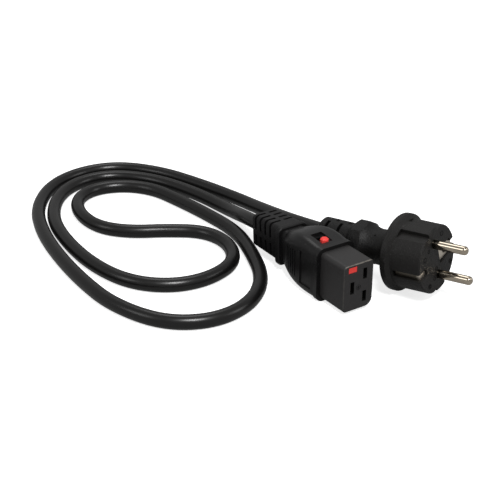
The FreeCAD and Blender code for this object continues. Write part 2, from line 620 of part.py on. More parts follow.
# ---------------------------------------------------------------- plug
def plug_body():
    """The round overmould: body with ridges and flats, flange, neck, grip ring and tail."""
    body = revolve([(0.0, PLUG_R - 0.6), (0.6, PLUG_R), (PLUG_BODY + 1, PLUG_R + 0.2)])
    for end in (1, -1):
        for side in (1, -1):
            body = body.cut(block(*sorted((side * RIDGE_W / 2, side * (PLUG_R + 1))), -1, FLAT_END,
                                  *sorted((end * FLAT_HALF, end * (PLUG_R + 2)))))
    flange_end = PLUG_BODY + PLUG_FLANGE_T
    round_start = (flange_end - FLANGE_ROUND, PLUG_FLANGE_R)
    drop = FLANGE_ROUND * (1 - math.sqrt(0.5))
    round_end = (flange_end, PLUG_FLANGE_R - FLANGE_ROUND)
    rear = revolve(
        [(PLUG_BODY, PLUG_R), (PLUG_BODY + FLANGE_BEVEL, PLUG_FLANGE_R), round_start],
        (round_start, (flange_end - drop, PLUG_FLANGE_R - drop), round_end),
        (round_end,) + NECK_PROFILE + RING_PROFILE[:1],
        list(RING_PROFILE) + [(PLUG_REAR - TAIL_EDGE, TAIL_R), (PLUG_REAR, TAIL_R - TAIL_EDGE)])
    rear = rear.cut(ring_flats())
    for i in range(TAIL_ROWS):
        rear = rear.cut(tail_slots(TAIL_FIRST + i * TAIL_PITCH, TAIL_SLOT_TURN + 90.0 * (i % 2)))
    for s, angle in VENTS:
        vent = Part.makeCylinder(VENT_R, PLUG_R, V(NECK_PROFILE[-2][1] - VENT_DEPTH, s, 0), V(1, 0, 0))
        rear = rear.cut(turn(vent, angle))
    return body.fuse(rear).cut(plug_hollow())


def turn(shape, angle):
    """Turn a piece of the plug about its axis, from +X towards +Z."""
    shape.rotate(V(0, 0, 0), V(0, -1, 0), angle)
    return shape


def ring_flats():
    """The flats round the grip ring."""
    start = NECK_PROFILE[-2][0]
    length = RING_PROFILE[-1][0] - start
    blank = Part.makeCylinder(PLUG_FLANGE_R, length, V(0, start, 0), V(0, 1, 0))
    radius = RING_FLAT_R / math.cos(math.pi / RING_FLATS)
    points = []
    for i in range(RING_FLATS + 1):
        angle = 2 * math.pi * (i + 0.5) / RING_FLATS
        points.append(V(radius * math.cos(angle), start, radius * math.sin(angle)))
    prism = Part.Face(Part.makePolygon(points)).extrude(V(0, length, 0))
    return blank.cut(prism)


def tail_slots(s, angle):
    """Two slots part of the way round the tail, on opposite sides."""
    end = s + TAIL_SLOT_W
    points = [V(TAIL_SLOT_FLOOR, s, 0), V(PLUG_R, s, 0), V(PLUG_R, end, 0), V(TAIL_SLOT_FLOOR, end, 0)]
    face = Part.Face(Part.makePolygon(points + [points[0]]))
    slot = turn(face.revolve(V(0, 0, 0), V(0, -1, 0), TAIL_SLOT_SPAN), angle - TAIL_SLOT_SPAN / 2)
    return slot.fuse(turn(slot.copy(), 180))


def plug_hollow():
    """The room inside the overmould: pins, bridge, strap, cores and cord."""
    gap = MOULD_FIT
    room = revolve([(FACE_T, BRIDGE_R + gap), (CAVITY_END, BRIDGE_R + gap), (CAVITY_TAPER, CORD_BORE),
                    (PLUG_REAR + 1, CORD_BORE)])
    for z in (PIN_PITCH / 2, -PIN_PITCH / 2):
        room = room.fuse(rod(PIN_ROOT_R + gap, 0, z, -1, FACE_T + 1))
    room = room.fuse(rod(SOCKET_BORE + SOCKET_WALL + gap, SOCKET_X, 0, STRAP_FRONT, FACE_T + 1))
    fit = STRAP_FIT
    groove_h = STRAP_W / 2 + fit
    deep = STRAP_FRONT + STRAP_T + fit
    inside = STRAP_OUT - STRAP_T - 1.0
    for side, reach in ((1, STRAP_REACH), (-1, STRAP_SHORT_REACH)):
        groove = block(*sorted((side * inside, side * (PLUG_R + 2))), -1, STRAP_BACK + STRAP_T + fit,
                       -groove_h, groove_h)
        leg = block(*sorted((side * (reach - fit), side * (PLUG_R + 2))), -1, deep, -groove_h, groove_h)
        room = room.fuse(groove).fuse(leg)
    window = block(STRAP_REACH - 1.2, SOCKET_X + 4.2, -1, STRAP_FRONT, -WINDOW_H / 2, WINDOW_H / 2)
    plate_h = STRAP_PLATE_H / 2 + fit
    window = window.fuse(block(STRAP_REACH - fit, STRAP_PLATE_OUT + fit, -1, deep, -plate_h, plate_h))
    bridge_slot = block(-STRAP_OUT, STRAP_OUT, STRAP_BACK - fit, STRAP_BACK + STRAP_T + fit,
                        -groove_h, groove_h)
    return room.fuse(window).fuse(bridge_slot)


def pin_bridge():
    """The hard disc that holds the pins and the earth socket at their spacing."""
    gap = MOULD_FIT
    disc = Part.makeCylinder(BRIDGE_R, BRIDGE_END - FACE_T, V(0, FACE_T, 0), V(0, 1, 0))
    for z in (PIN_PITCH / 2, -PIN_PITCH / 2):
        disc = disc.cut(rod(PIN_ROOT_R + gap, 0, z, FACE_T - 1, PIN_ROOT + gap))
        disc = disc.cut(rod(BARREL_R + gap, 0, z, PIN_ROOT - 1, BRIDGE_END + 1))
    return disc.cut(rod(SOCKET_BORE + SOCKET_WALL + gap, SOCKET_X, 0, FACE_T - 1, BRIDGE_END + 1))


def plug_pin(z):
    """A solid round pin with a rounded tip, a thicker root in the bridge, and a crimp barrel."""
    tip = PIN_TIP
    shank = rod(PIN_R, 0, z, -PIN_LENGTH, 0)
    end = [e for e in shank.Edges if abs(e.BoundBox.YMax + PIN_LENGTH) < 1e-6 and len(e.Vertexes) < 2]
    shank = shank.makeFillet(tip, end)
    root = rod(PIN_ROOT_R, 0, z, 0, PIN_ROOT)
    barrel = rod(BARREL_R, 0, z, PIN_ROOT, CAVITY_END - 1)
    bore = rod(WIRE_R + MOULD_FIT, 0, z, PIN_ROOT + 3, CAVITY_END)
    return shank.fuse(root).fuse(barrel).cut(bore)


def earth_strap():
    """The bent strip: two side contacts, their front legs, the cross bar and its crimp barrel."""
    half = STRAP_W / 2
    t = STRAP_T
    strap = block(-STRAP_OUT, STRAP_OUT, STRAP_BACK, STRAP_BACK + t, -half, half)
    for side, reach in ((1, STRAP_REACH), (-1, STRAP_SHORT_REACH)):
        arm = block(*sorted((side * (STRAP_OUT - t), side * STRAP_OUT)), STRAP_FRONT, STRAP_BACK + t,
                    -half, half)
        leg = block(*sorted((side * reach, side * STRAP_OUT)), STRAP_FRONT, STRAP_FRONT + t, -half, half)
        strap = strap.fuse(arm).fuse(leg)
    strap = strap.fuse(block(STRAP_REACH, STRAP_PLATE_OUT, STRAP_FRONT, STRAP_FRONT + t,
                             -STRAP_PLATE_H / 2, STRAP_PLATE_H / 2))
    strap = strap.cut(rod(SOCKET_BORE, SOCKET_X, 0, STRAP_FRONT - 1, STRAP_FRONT + t + 1))
    barrel = rod(BARREL_R, 0, 0, STRAP_BACK + t / 2, STRAP_BACK + BARREL_LENGTH)
    bore = rod(WIRE_R + MOULD_FIT, 0, 0, STRAP_BACK + t + 1, STRAP_BACK + BARREL_LENGTH + 1)
    return strap.fuse(barrel).cut(bore)


def earth_socket():
    """The tube that takes a fixed earth pin, behind the hole in the strap's leg."""
    start = STRAP_FRONT + STRAP_T
    tube_wall = rod(SOCKET_BORE + SOCKET_WALL, SOCKET_X, 0, start, start + SOCKET_LENGTH)
    return tube_wall.cut(rod(SOCKET_BORE, SOCKET_X, 0, start - 1, start + SOCKET_LENGTH + 1))


def plug_core(pole):
    """An insulated core from the cord's sheath to its crimp barrel in the plug."""
    start_z = {"line": PIN_PITCH / 2, "neutral": -PIN_PITCH / 2, "earth": 0.0}[pole]
    start_s = STRAP_BACK + BARREL_LENGTH if pole == "earth" else CAVITY_END - 1
    angle = math.radians(CORE_ANGLE[pole])
    across = CORE_SPREAD * math.cos(angle)
    up = CORE_SPREAD * math.sin(angle)
    points = [
        V(0, start_s + MOULD_FIT, start_z),
        V(0, start_s + 2.4, start_z),
        V(across, CAVITY_TAPER - 1.0, up),
        V(across, PLUG_SHEATH - CORE_GAP, up),
    ]
    wire = rod(WIRE_R, 0, start_z, start_s - WIRE_STRIP + 1, start_s + 0.5)
    return tube(points, CORE_R).fuse(wire)


# ---------------------------------------------------------------- build
def main():
    """Write every sub-part."""
    os.makedirs("parts", exist_ok=True)
    save(socket_block(), "socket_block")
    save(contact_retainer(), "contact_retainer")
    for pole in POLES:
        save(contact(pole), "contact_" + pole)
        save(core(pole), "core_" + pole)
    save(release_slider(), "release_slider")
    save(lock_plate(), "lock_plate")
    save(return_spring(), "return_spring")
    save(hood(), "hood")
    save(strain_relief(), "strain_relief")
    save(cord_sheath(), "cord_sheath")
    lay_plug_piece(plug_body(), "plug_body")
    lay_plug_piece(pin_bridge(), "pin_bridge")
    lay_plug_piece(plug_pin(PIN_PITCH / 2), "plug_pin_line")
    lay_plug_piece(plug_pin(-PIN_PITCH / 2), "plug_pin_neutral")
    lay_plug_piece(earth_strap(), "earth_strap")
    lay_plug_piece(earth_socket(), "earth_socket")
    for pole in POLES:
        lay_plug_piece(plug_core(pole), "plug_core_" + pole)


main()
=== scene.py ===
"""Dresses the locking C19 mains lead: cord, mouldings, metal, and the stage it lies on."""

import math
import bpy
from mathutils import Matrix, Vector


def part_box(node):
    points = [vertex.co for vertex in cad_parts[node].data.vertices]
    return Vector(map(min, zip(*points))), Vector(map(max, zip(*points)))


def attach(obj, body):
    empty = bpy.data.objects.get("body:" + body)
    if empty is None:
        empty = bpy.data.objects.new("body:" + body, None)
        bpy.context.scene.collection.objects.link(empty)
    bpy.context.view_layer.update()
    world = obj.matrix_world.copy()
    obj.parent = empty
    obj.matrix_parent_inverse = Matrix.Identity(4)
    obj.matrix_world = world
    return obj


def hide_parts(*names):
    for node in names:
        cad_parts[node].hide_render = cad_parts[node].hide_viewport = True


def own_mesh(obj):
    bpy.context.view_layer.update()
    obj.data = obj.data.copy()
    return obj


bl_info = {
    "name": "Locking Mains Lead",
    "version": (1, 0, 0),
    "blender": (4, 5, 0),
    "location": "View3D > Sidebar > Mains Lead",
    "description": "Builds the cord, mouldings, contacts and finishes of a locking C19 mains lead",
    "category": "Object",
}

import bmesh
import bpy
import numpy as np
from bpy.props import FloatProperty, FloatVectorProperty, IntProperty, PointerProperty
from mathutils import Matrix, Vector

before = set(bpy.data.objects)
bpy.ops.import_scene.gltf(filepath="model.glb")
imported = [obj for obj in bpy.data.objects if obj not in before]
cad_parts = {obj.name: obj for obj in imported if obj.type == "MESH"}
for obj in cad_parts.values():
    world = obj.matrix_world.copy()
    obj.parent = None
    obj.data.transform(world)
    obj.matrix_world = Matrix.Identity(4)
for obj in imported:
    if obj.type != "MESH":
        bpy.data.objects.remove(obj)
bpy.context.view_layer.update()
BODY = "lead"

# ---------------------------------------------------------------- places, in metres
BLOCK = np.array(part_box("socket_block"))
FACE_Y = BLOCK[0, 1]
AXIS_Z = BLOCK[:, 2].mean()
ACROSS = Vector((1.0, 0.0, 0.0))
FORWARD = Vector((0.0, -1.0, 0.0))       # the way both ends plug in, each in its own frame
UP = Vector((0.0, 0.0, 1.0))

# the plug's own frame: its face's centre, and its turn, with the pins along its -Y
PLUG_FACE = Vector((0.0426, FACE_Y - 0.01076, 0.0233))
PLUG_TURN = (Matrix.Rotation(math.radians(18.56), 4, "Z")
             @ Matrix.Rotation(math.radians(-5.5), 4, "X")
             @ Matrix.Rotation(math.radians(-13.6), 4, "Y"))
PLUG_PLACE = Matrix.Translation(PLUG_FACE) @ PLUG_TURN

# the sleeve's own frame: its root on the connector's axis, sagging to the cord
SLEEVE_DROOP = math.radians(3.0)
SLEEVE_ROOT = Vector((0.0, FACE_Y + 0.061, AXIS_Z + 0.00065))
SLEEVE_PLACE = Matrix.Translation(SLEEVE_ROOT) @ Matrix.Rotation(-SLEEVE_DROOP, 4, "X")

# the cord's route over the surface, across and behind the connector's face, from the connector round its
# loops to the plug
CORD_ROUTE = (
    (0.008, 0.1324), (0.004, 0.1664), (-0.007, 0.1994), (-0.0265, 0.2209), (-0.050, 0.2229),
    (-0.0709, 0.2092), (-0.0868, 0.1813), (-0.0928, 0.1484), (-0.0929, 0.1144), (-0.0858, 0.087),
    (-0.0693, 0.0704), (-0.048, 0.0664), (-0.0262, 0.075), (-0.0162, 0.0962), (-0.020, 0.1174),
    (-0.0376, 0.1306), (-0.0566, 0.1408), (-0.069, 0.1563), (-0.0703, 0.1783), (-0.063, 0.1982),
    (-0.047, 0.2075), (-0.0285, 0.2025), (-0.0152, 0.187), (-0.0108, 0.165), (-0.0067, 0.138),
    (-0.0046, 0.1076), (-0.0112, 0.082), (-0.0236, 0.051), (-0.044, 0.0318), (-0.069, 0.027),
    (-0.0918, 0.0397), (-0.1044, 0.0702), (-0.1059, 0.1036), (-0.1038, 0.138), (-0.0984, 0.1704),
    (-0.0881, 0.2008), (-0.0675, 0.2266), (-0.042, 0.2365), (-0.017, 0.2314), (0.002, 0.208),
    (0.0128, 0.1774), (0.0208, 0.1464),
)
CORD_LIE = 0.00405                       # height of its middle where it lies
CORD_RISE = (0.0210, 0.1174, 0.0074)     # across, behind the face and up, where it rises to the plug
CORD_TAIL = (0.0016, 0.0820, 0.0016)     # behind the plug's tail, in the plug's frame
CORD_START = 0.004                       # its first point, in the sleeve's frame
CORD_STRAIGHT = 0.033                    # how far it runs straight from there
CORD_END = 0.036                         # its last point behind the plug's face
CORD_STEPS = 14                          # steps from one point of the route to the next

# the earth sign: a ring, and in it a stem over three bars that shorten downwards
SIGN_DROP = 0.0005                       # its middle below the connector's axis
SIGN_RING = 0.00135                      # radius
SIGN_STEM = (0.00045, 0.00034)           # height of its middle over the sign's, and half its length
SIGN_BARS = ((0.00005, 0.00075), (-0.00032, 0.00048), (-0.00068, 0.0002))     # the same of each bar
SIGN_LINE = 0.9                          # width of its lines, as a share of the rings'

# plain moulded rings on the plug's face: across, up and radius in the plug's own frame
PLUG_RINGS = ((-0.0103, -0.0104, 0.0013), (-0.0103, -0.0104, 0.0007), (-0.0108, 0.0068, 0.0012),
              (0.0078, 0.0112, 0.0013), (-0.0017, -0.0047, 0.0010), (-0.0050, -0.0090, 0.0009),
              (0.0118, -0.0093, 0.0013), (0.0118, -0.0093, 0.0006), (-0.0062, 0.0090, 0.0009))

# ---------------------------------------------------------------- the stage
FLOOR_REACH = 6.0                        # from the middle to each side
FLOOR_WHITE = (0.9, 0.9, 0.9)            # its colour where it shows as the background
FLOOR_GLOW = 0.76                        # what it gives off there
LIT_POINT = Vector((0.0, 0.05, 0.0))     # where the lamps aim
LAMPS = (                                # name, place, side of its square, watts
    ("above", (-0.28, -0.60, 0.96), 0.34, 9.0),
    ("left", (-0.95, 0.22, 0.64), 0.36, 1.0),
    ("right", (0.85, -0.70, 0.60), 0.45, 1.6),
    ("back", (0.24, 0.60, 1.00), 0.45, 1.5),
)

# ---------------------------------------------------------------- finishes and painted light without a setting
FINE_GRAIN = 2600.0                      # waves per metre
COARSE_GRAIN = 1300.0
STREAKS = (2400.0, 60.0, 2400.0)         # waves per metre across, along and through a plated piece
MOULDED_SWING = 0.1                      # how far roughness follows the slow drift
PLATED_SWING = 0.08                      # and how far it follows the streaks
SPECK_COLOR = (0.10, 0.098, 0.092)
SLOT_PAINTED_SHADE = (0.0015, 0.0015, 0.0015)     # painted shade inside the block's slots
SLOT_SHADE_DEPTH = 0.0004                        # the depth at which the painted shade on their walls is full
BLOCK_WALL = 0.001                       # the depth at the block's sides that the painted shade never reaches
TOP_EDGE_PAINTED_HIGHLIGHT = (0.33, 0.30, 0.255)           # painted highlight on the block's front edge along its top
SIDE_EDGE_PAINTED_HIGHLIGHT = (0.11, 0.105, 0.095)         # and painted highlight along its left side
NECK_PAINTED_SHADE = (0.0035, 0.0033, 0.0031)     # painted shade on the plug behind its flange
PIN_ROOT_PAINTED_REFLECTION = (0.06, 0.054, 0.045)     # painted reflection of the black face on the pins where they enter it
STRAP_PAINTED_SHADE = (0.15, 0.135, 0.11)         # painted shade on the strap along its groove
STEEL = (0.45, 0.45, 0.46)
BRASS = (0.62, 0.47, 0.24)
INNER_GREY = (0.022, 0.022, 0.022)
CORE_COLORS = {"line": (0.11, 0.045, 0.02), "neutral": (0.02, 0.08, 0.35), "earth": (0.16, 0.34, 0.03)}


# ---------------------------------------------------------------- settings
def color_setting(name, description, default):
    """A colour that a user would change."""
    return FloatVectorProperty(name=name, description=description, subtype="COLOR", size=3,
                               min=0.0, max=1.0, default=default)


def length_setting(name, description, default, least, most):
    """A length that a user would change."""
    return FloatProperty(name=name, description=description, unit="LENGTH", default=default,
                         min=least, max=most)


class LEAD_StageSettings(bpy.types.PropertyGroup):
    """What the lead lies on and how it is lit and seen."""

    floor_color: color_setting("Floor", "Colour of the floor as it lights the lead", (0.16, 0.16, 0.16))
    sky_strength: FloatProperty(name="Sky", description="Strength of the soft light from all round",
                                default=0.22, min=0.0, max=4.0)
    mirrored: FloatProperty(name="Mirrored",
                            description="Share of the white background that shows in metal",
                            default=0.15, min=0.0, max=1.0)
    camera_place: FloatVectorProperty(name="Camera", description="Where the camera stands",
                                      subtype="TRANSLATION", unit="LENGTH", size=3,
                                      default=(-0.32596, -0.435693, 0.29378))
    camera_sight: FloatVectorProperty(name="Sight", description="The way the camera looks",
                                      subtype="DIRECTION", size=3, default=(0.4918, 0.7437, -0.4527))
    lens: FloatProperty(name="Lens", description="Focal length on a 36 mm sensor, in millimetres",
                        default=82.05, min=10.0, max=300.0)
    light: FloatProperty(name="Light", description="Strength of the soft lamps and the sky",
                         default=1.0, min=0.0, max=10.0)


class LEAD_CordSettings(bpy.types.PropertyGroup):
    """The cord's size and finish."""

    diameter: length_setting("Diameter", "Outside diameter of the sheath", 0.008, 0.003, 0.02)
    sides: IntProperty(name="Sides", description="Steps round half of the cord's section",
                       default=7, min=3, max=16)
    color: color_setting("Sheath", "Colour of the sheath", (0.0055, 0.0052, 0.0051))


class LEAD_MarkSettings(bpy.types.PropertyGroup):
    """The faint raised marks moulded on the two faces."""

    line: length_setting("Line", "Half the width of a raised line", 0.00017, 0.00005, 0.001)
    height: length_setting("Height", "How far a raised line stands out", 0.0001, 0.00002, 0.0005)
    # the marks' dark colour is painted shade of their raised lines
    color: color_setting("Marks", "Colour of the marks", (0.0015, 0.0014, 0.0014))


class LEAD_SpringSettings(bpy.types.PropertyGroup):
    """The coil that pushes the release forward."""

    wire: length_setting("Wire", "Thickness of the wire", 0.0004, 0.0001, 0.001)
    turns: IntProperty(name="Turns", description="Turns of the coil", default=6, min=2, max=20)


class LEAD_FinishSettings(bpy.types.PropertyGroup):
    """Colours of the mouldings and the metal."""

    block: color_setting("Socket block", "Matte dark grey front moulding", (0.0280, 0.0267, 0.0267))
    hood: color_setting("Hood", "Satin black cover", (0.0060, 0.0058, 0.0060))
    relief: color_setting("Strain relief", "Soft black moulding", (0.0050, 0.0047, 0.0050))
    plug: color_setting("Plug", "Matte black overmould", (0.0105, 0.0099, 0.0093))
    release: color_setting("Release", "Red sliding piece", (1.0, 0.07, 0.06))
    pins: color_setting("Pins", "Nickel plate on the pins", (0.60, 0.525, 0.42))
    strap: color_setting("Earth strap", "Nickel plate on the earth strap", (0.84, 0.77, 0.66))


# ---------------------------------------------------------------- surfaces
def grid_object(name, points, wrap_rows=False, wrap_cols=False):
    """Joins a grid of points into quads: face (i, j) has corners (i, j), (i+1, j), (i+1, j+1), (i, j+1)."""
    rows, cols = points.shape[:2]
    i, j = np.meshgrid(np.arange(rows if wrap_rows else rows - 1),
                       np.arange(cols if wrap_cols else cols - 1), indexing="ij")
    i2 = (i + 1) % rows
    j2 = (j + 1) % cols
    quads = np.stack([i * cols + j, i2 * cols + j, i2 * cols + j2, i * cols + j2], -1).reshape(-1, 4)
    mesh = bpy.data.meshes.new(name)
    mesh.from_pydata(points.reshape(-1, 3), [], quads)
    mesh.polygons.foreach_set("use_smooth", np.ones(len(mesh.polygons), bool))
    mesh.update()
    piece = bpy.data.objects.new(name, mesh)
    bpy.context.collection.objects.link(piece)
    return piece


def raised_loop(centre, across, up, half_wide, half_tall, line, height, steps=40, sides=8):
    """A closed raised line round an ellipse, as a (u, v) grid of points.

    The line runs round centre + half_wide cos(u) across + half_tall sin(u) up. About it lies a flattened
    ring: line cos(v) along cos(u) across + sin(u) up, and height sin(v) along the face's own outward way.
    """
    u = np.linspace(0.0, 2 * np.pi, steps, endpoint=False)[:, None, None]
    v = np.linspace(0.0, 2 * np.pi, sides, endpoint=False)[None, :, None]
    across, up = np.array(across), np.array(up)
    out = np.cross(across, up)
    middle = np.array(centre) + half_wide * np.cos(u) * across + half_tall * np.sin(u) * up
    return middle + line * np.cos(v) * (np.cos(u) * across + np.sin(u) * up) + height * np.sin(v) * out


def coil(start, end, radius, wire, turns, steps=24, sides=10):
    """A coiled wire along +Y from start to end, as a (t, v) grid of points.

    Its line is start + t (end - start), turned out by radius at an angle of 2 pi turns t. About it lies a
    circle of radius wire / 2, in the plane of the outward way and +Y, closed to a point at both ends.
    """
    t = np.linspace(0.0, 1.0, steps * turns + 1)[:, None, None]
    v = np.linspace(0.0, 2 * np.pi, sides, endpoint=False)[None, :, None]
    start, end = np.array(start), np.array(end)
    angle = 2 * np.pi * turns * t
    outward = np.concatenate((np.cos(angle), np.zeros_like(angle), np.sin(angle)), axis=-1)
    middle = start + t * (end - start) + radius * outward
    section = wire / 2 * np.where((t > 0) & (t < 1), 1.0, 0.0)
    return middle + section * (np.cos(v) * outward + np.sin(v) * np.array((0.0, 1.0, 0.0)))


def close_poles(piece, reach=1e-7):
    """Merges the points that lie together at a grid's poles, and turns every face outwards."""
    mesh = bmesh.new()
    mesh.from_mesh(piece.data)
    bmesh.ops.remove_doubles(mesh, verts=mesh.verts, dist=reach)
    bmesh.ops.recalc_face_normals(mesh, faces=mesh.faces)
    mesh.to_mesh(piece.data)
    mesh.free()
    return piece


def loops_object(name, loops):
    """Joins several raised loops, each its own closed grid, into one piece."""
    pieces = [grid_object(name, points, wrap_rows=True, wrap_cols=True) for points in loops]
    with bpy.context.temp_override(active_object=pieces[0], selected_editable_objects=pieces):
        bpy.ops.object.join()
    pieces[0].name = name
    return pieces[0]


# ---------------------------------------------------------------- shader nodes
def feed(tree, value, socket):
    """Links a socket to another, or sets a number, vector or colour on it."""
    if isinstance(value, bpy.types.NodeSocket):
        tree.links.new(value, socket)
    else:
        socket.default_value = value


def math_node(tree, kind, *values, clamp=False):
    """Adds a Math node fed by sockets or numbers; returns its output."""
    node = tree.nodes.new("ShaderNodeMath")
    node.operation = kind
    node.use_clamp = clamp
    for value, socket in zip(values, node.inputs):
        feed(tree, value, socket)
    return node.outputs[0]


def vector_node(tree, kind, *values, output="Vector"):
    """Adds a Vector Math node fed by sockets; returns its vector or its value."""
    node = tree.nodes.new("ShaderNodeVectorMath")
    node.operation = kind
    for value, socket in zip(values, node.inputs):
        feed(tree, value, socket)
    return node.outputs[output]


def scaled_color(tree, color, factor):
    """Adds a Vector Math node that multiplies a colour by a number."""
    node = tree.nodes.new("ShaderNodeVectorMath")
    node.operation = "SCALE"
    feed(tree, color, node.inputs[0])
    feed(tree, factor, node.inputs["Scale"])
    return node.outputs[0]


def ramp(tree, value, low, high, start=0.0, end=1.0, kind="SMOOTHSTEP"):
    """Adds a Map Range from low..high to start..end."""
    node = tree.nodes.new("ShaderNodeMapRange")
    node.interpolation_type = kind
    feed(tree, value, node.inputs["Value"])
    for label, number in (("From Min", low), ("From Max", high), ("To Min", start), ("To Max", end)):
        node.inputs[label].default_value = number
    return node.outputs[0]


def noise(tree, place, scale, detail):
    """Adds a Noise Texture; scale is a socket or a number of waves per metre."""
    node = tree.nodes.new("ShaderNodeTexNoise")
    feed(tree, place, node.inputs["Vector"])
    feed(tree, scale, node.inputs["Scale"])
    node.inputs["Detail"].default_value = detail
    return node.outputs["Fac"]


def mixed_color(tree, factor, first, second):
    """Adds a Mix node that goes from the first colour to the second."""
    node = tree.nodes.new("ShaderNodeMix")
    node.data_type = "RGBA"
    feed(tree, factor, node.inputs["Factor"])
    feed(tree, first, node.inputs["A"])
    feed(tree, second, node.inputs["B"])
    return node.outputs["Result"]


def split_vector(tree, vector):
    """Adds a Separate XYZ node; returns its three outputs."""
    node = tree.nodes.new("ShaderNodeSeparateXYZ")
    feed(tree, vector, node.inputs[0])
    return node.outputs


def object_place(tree):
    """Adds a Texture Coordinate node; returns its Object output."""
    return tree.nodes.new("ShaderNodeTexCoord").outputs["Object"]


# ---------------------------------------------------------------- shared effects
def new_group(name, inputs, outputs):
    """Starts a node group: (name, kind, default) in, (name, kind) out; returns it and its two ends."""
    group = bpy.data.node_groups.new(name, "ShaderNodeTree")
    for label, kind, default in inputs:
        socket = group.interface.new_socket(name=label, in_out="INPUT", socket_type=kind)
        socket.default_value = default
    for label, kind in outputs:
        group.interface.new_socket(name=label, in_out="OUTPUT", socket_type=kind)
    given = group.nodes.new("NodeGroupInput").outputs
    result = group.nodes.new("NodeGroupOutput").inputs
    return group, given, result


def moulded_surface(name):
    """Group: slow tone drift, fine spark grain, and stray pale specks of a moulded face."""
    group, given, result = new_group(
        name,
        (("Color", "NodeSocketColor", (0.02, 0.02, 0.02, 1.0)), ("Rough", "NodeSocketFloat", 0.5),
         ("Drift", "NodeSocketFloat", 0.25), ("Specks", "NodeSocketFloat", 0.3),
         ("Grain", "NodeSocketFloat", FINE_GRAIN)),
        (("Color", "NodeSocketColor"), ("Roughness", "NodeSocketFloat"), ("Height", "NodeSocketFloat")))
    place = object_place(group)
    slow = math_node(group, "SUBTRACT", noise(group, place, scale=90.0, detail=4.0), 0.5)
    tone = math_node(group, "MULTIPLY_ADD", slow, given["Drift"], 1.0)
    specks = ramp(group, noise(group, place, scale=900.0, detail=1.0), low=0.70, high=0.80)
    color = mixed_color(group, math_node(group, "MULTIPLY", specks, given["Specks"]),
                        scaled_color(group, given["Color"], tone), (*SPECK_COLOR, 1.0))
    feed(group, color, result["Color"])
    rough = math_node(group, "MULTIPLY_ADD", slow, MOULDED_SWING, given["Rough"])
    feed(group, rough, result["Roughness"])
    feed(group, noise(group, place, scale=given["Grain"], detail=3.0), result["Height"])
    return group


def painted_edge_highlight(name):
    """Group: uneven mask for a painted highlight along the edge where a front plane meets another face.

    Front is the front plane's Y, and Reach the other face's distance along Way. The mask falls from 1 on
    the edge to 0 where the larger distance to the two faces is Width.
    """
    group, given, result = new_group(
        name,
        (("Front", "NodeSocketFloat", 0.0), ("Way", "NodeSocketVector", (0.0, 0.0, 1.0)),
         ("Reach", "NodeSocketFloat", 0.02), ("Width", "NodeSocketFloat", 0.0006)),
        (("Mask", "NodeSocketFloat"),))
    place = object_place(group)
    behind = math_node(group, "SUBTRACT", split_vector(group, place)["Y"], given["Front"])
    along = vector_node(group, "DOT_PRODUCT", place, given["Way"], output="Value")
    inside = math_node(group, "SUBTRACT", given["Reach"], along)
    wander = noise(group, place, scale=420.0, detail=3.0)
    uneven = ramp(group, wander, low=0.3, high=0.7, start=0.8, end=1.2)
    width = math_node(group, "MULTIPLY", given["Width"], uneven)
    away = math_node(group, "DIVIDE", math_node(group, "MAXIMUM", behind, inside), width)
    feed(group, math_node(group, "SUBTRACT", 1.0, away, clamp=True), result["Mask"])
    return group


def painted_recess_shade(name):
    """Group: painted-shade mask of what lies inside a box, rising from 0 at its sides to 1 at a depth
    within them.
    """
    group, given, result = new_group(
        name,
        (("Centre", "NodeSocketVector", (0.0, 0.0, 0.0)),
         ("Half Size", "NodeSocketVector", (0.01, 0.01, 0.01)), ("Depth", "NodeSocketFloat", 0.001)),
        (("Mask", "NodeSocketFloat"),))
    from_centre = vector_node(group, "SUBTRACT", object_place(group), given["Centre"])
    off_centre = vector_node(group, "ABSOLUTE", from_centre)
    inside = split_vector(group, vector_node(group, "SUBTRACT", given["Half Size"], off_centre))
    nearest = math_node(group, "MINIMUM", inside["X"], inside["Y"])
    nearest = math_node(group, "MINIMUM", nearest, inside["Z"])
    feed(group, math_node(group, "DIVIDE", nearest, given["Depth"], clamp=True), result["Mask"])
    return group


def plated_metal(name):
    """Group: faint drawn streaks along a direction and small tarnish, for nickel plate."""
    group, given, result = new_group(
        name,
        (("Color", "NodeSocketColor", (0.6, 0.55, 0.5, 1.0)), ("Rough", "NodeSocketFloat", 0.25),
         ("Turn", "NodeSocketVector", (0.0, 0.0, 0.0))),
        (("Color", "NodeSocketColor"), ("Roughness", "NodeSocketFloat"), ("Height", "NodeSocketFloat")))
    place = object_place(group)
    turn = group.nodes.new("ShaderNodeVectorRotate")
    turn.rotation_type = "EULER_XYZ"
    feed(group, place, turn.inputs["Vector"])
    feed(group, given["Turn"], turn.inputs["Rotation"])
    stretch = group.nodes.new("ShaderNodeMapping")
    stretch.inputs["Scale"].default_value = STREAKS
    feed(group, turn.outputs[0], stretch.inputs["Vector"])
    streaks = noise(group, stretch.outputs[0], scale=1.0, detail=3.0)
    patches = noise(group, place, scale=260.0, detail=4.0)
    tarnish = ramp(group, patches, low=0.35, high=0.7, start=0.93, end=1.03)
    feed(group, scaled_color(group, given["Color"], tarnish), result["Color"])
    centred = math_node(group, "SUBTRACT", streaks, 0.5)
    rough = math_node(group, "MULTIPLY_ADD", centred, PLATED_SWING, given["Rough"])
    feed(group, rough, result["Roughness"])
    feed(group, streaks, result["Height"])
    return group


def shaded_length(name):
    """Group: mask that rises with the distance behind a face, from Start to End."""
    group, given, result = new_group(
        name,
        (("Face", "NodeSocketVector", (0.0, 0.0, 0.0)), ("Forward", "NodeSocketVector", (0.0, -1.0, 0.0)),
         ("Start", "NodeSocketFloat", 0.001), ("End", "NodeSocketFloat", 0.004)),
        (("Mask", "NodeSocketFloat"),))
    offset = vector_node(group, "SUBTRACT", given["Face"], object_place(group))
    behind = vector_node(group, "DOT_PRODUCT", offset, given["Forward"], output="Value")
    depth = math_node(group, "SUBTRACT", behind, given["Start"])
    reach = math_node(group, "SUBTRACT", given["End"], given["Start"])
    feed(group, math_node(group, "DIVIDE", depth, reach, clamp=True), result["Mask"])
    return group


